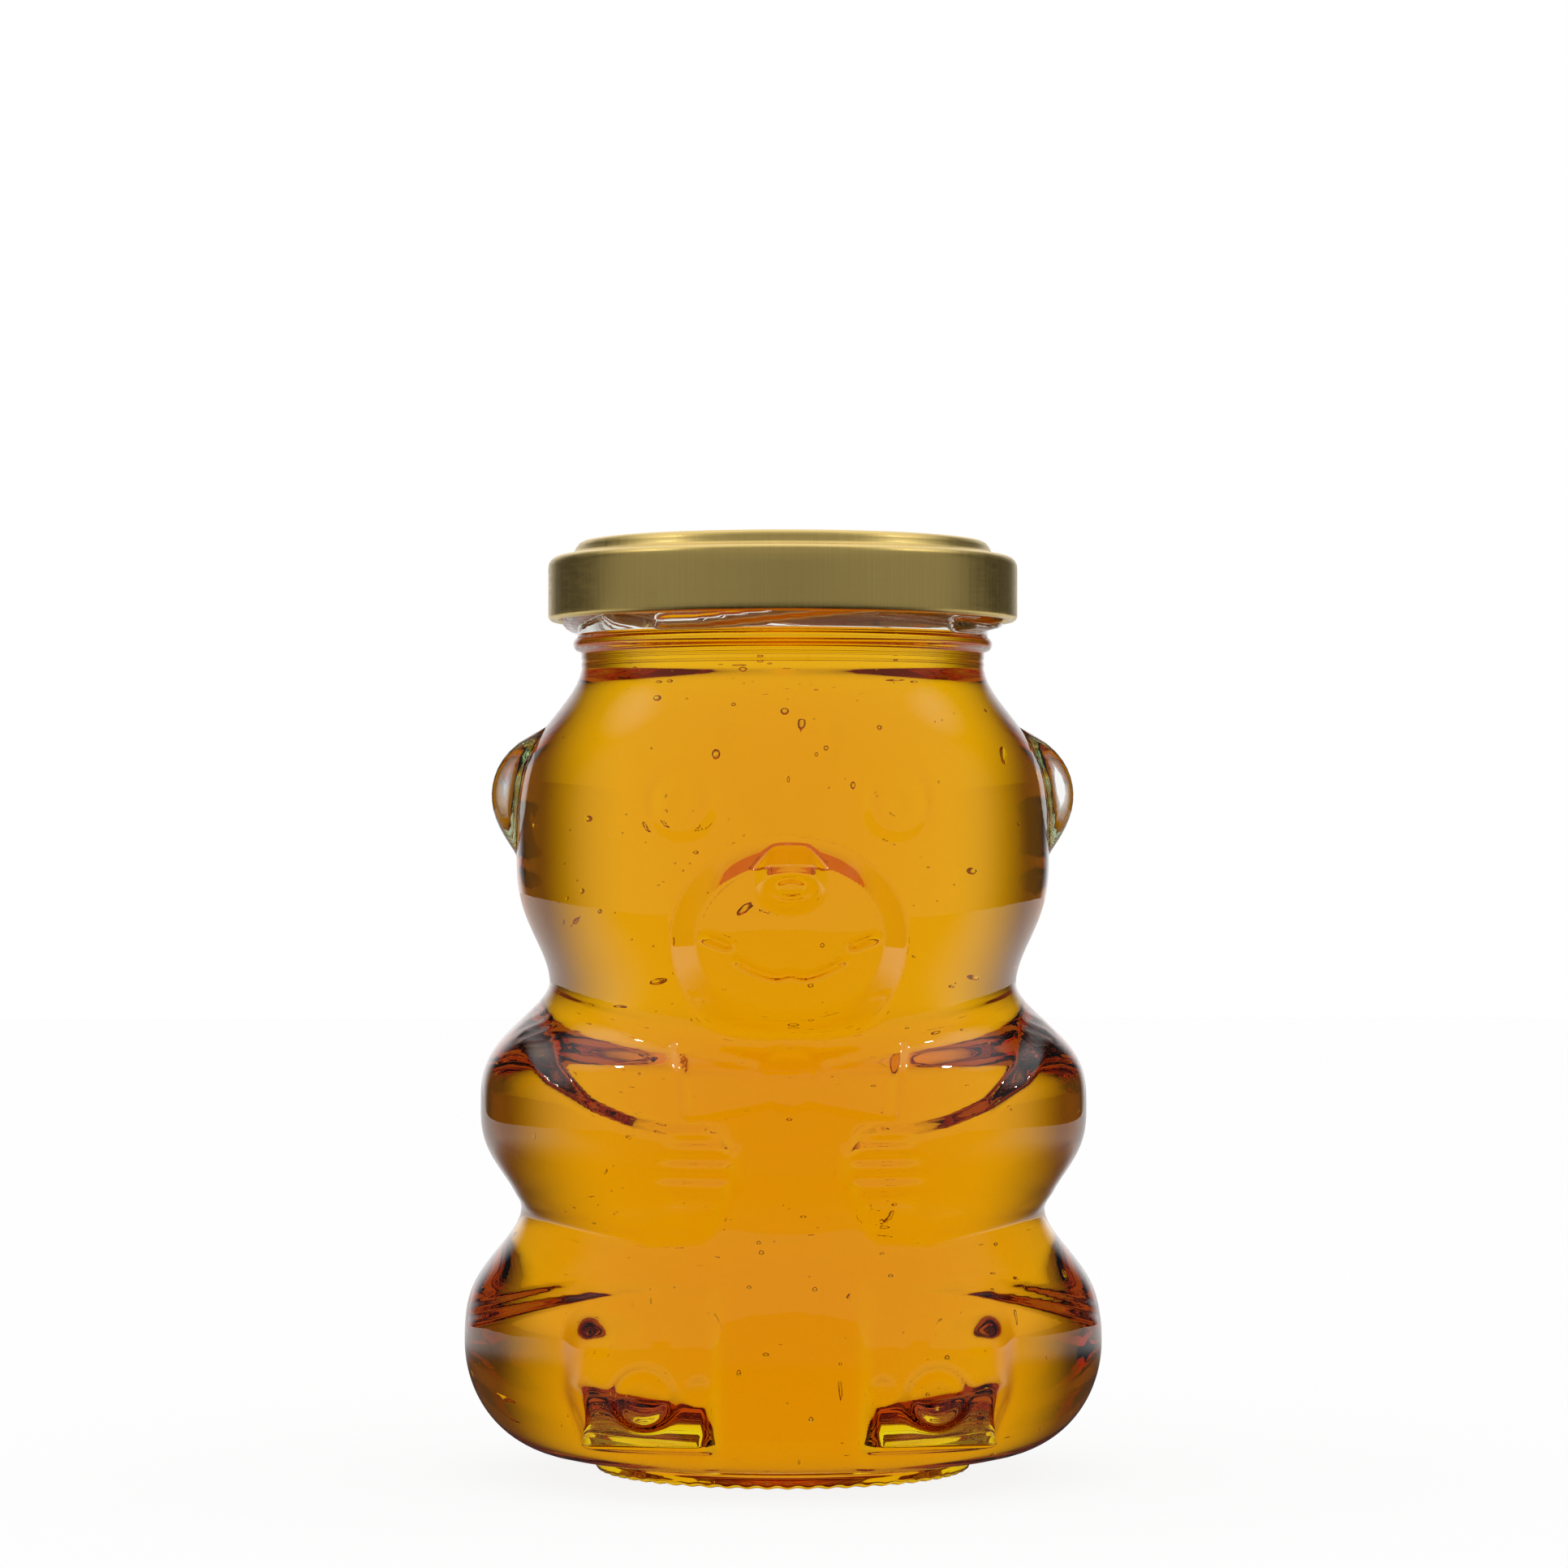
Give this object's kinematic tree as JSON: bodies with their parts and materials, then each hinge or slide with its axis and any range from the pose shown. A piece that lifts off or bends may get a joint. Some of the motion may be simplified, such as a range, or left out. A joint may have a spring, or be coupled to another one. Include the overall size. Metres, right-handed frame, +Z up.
{
  "type": "honey bear bottle",
  "caption": "Bear-shaped glass honey jar with a wide threaded neck, filled with honey and closed by a gold twist-off metal lid.",
  "frame": {"origin": "on the neck's axis, in the plane that the jar stands on", "axes": "+Z up along the neck's axis, -Y out of the bear's face, +X towards the viewer's right when facing the bear"},
  "size_m": [0.0824, 0.0799, 0.1203],
  "materials": {
    "clear_glass": "fire-polished clear glass",
    "honey": "clear amber honey with fine bubbles",
    "gold_lacquer": "satin gold lacquer on tinplate",
    "seal_compound": "smooth sealing compound"
  },
  "bodies": {
    "jar": {"glass_jar": "clear_glass", "honey": "honey"},
    "seal": {"sealing_ring": "seal_compound"},
    "lid": {"lid_shell": "gold_lacquer"}
  },
  "joints": [
    {"name": "lid_rise", "type": "slide", "parent": "jar", "child": "seal", "axis": [0, 0, 1], "range_m": [0, 0.017]},
    {"name": "lid_turn", "type": "hinge", "parent": "seal", "child": "lid", "pos_m": [0, 0, 0.11], "axis": [0, 0, 1], "range_deg": [0, 360]}
  ],
  "couplings": [
    {"joint": "lid_rise", "follows": "lid_turn", "m_per_rad": 0.0027056}
  ]
}
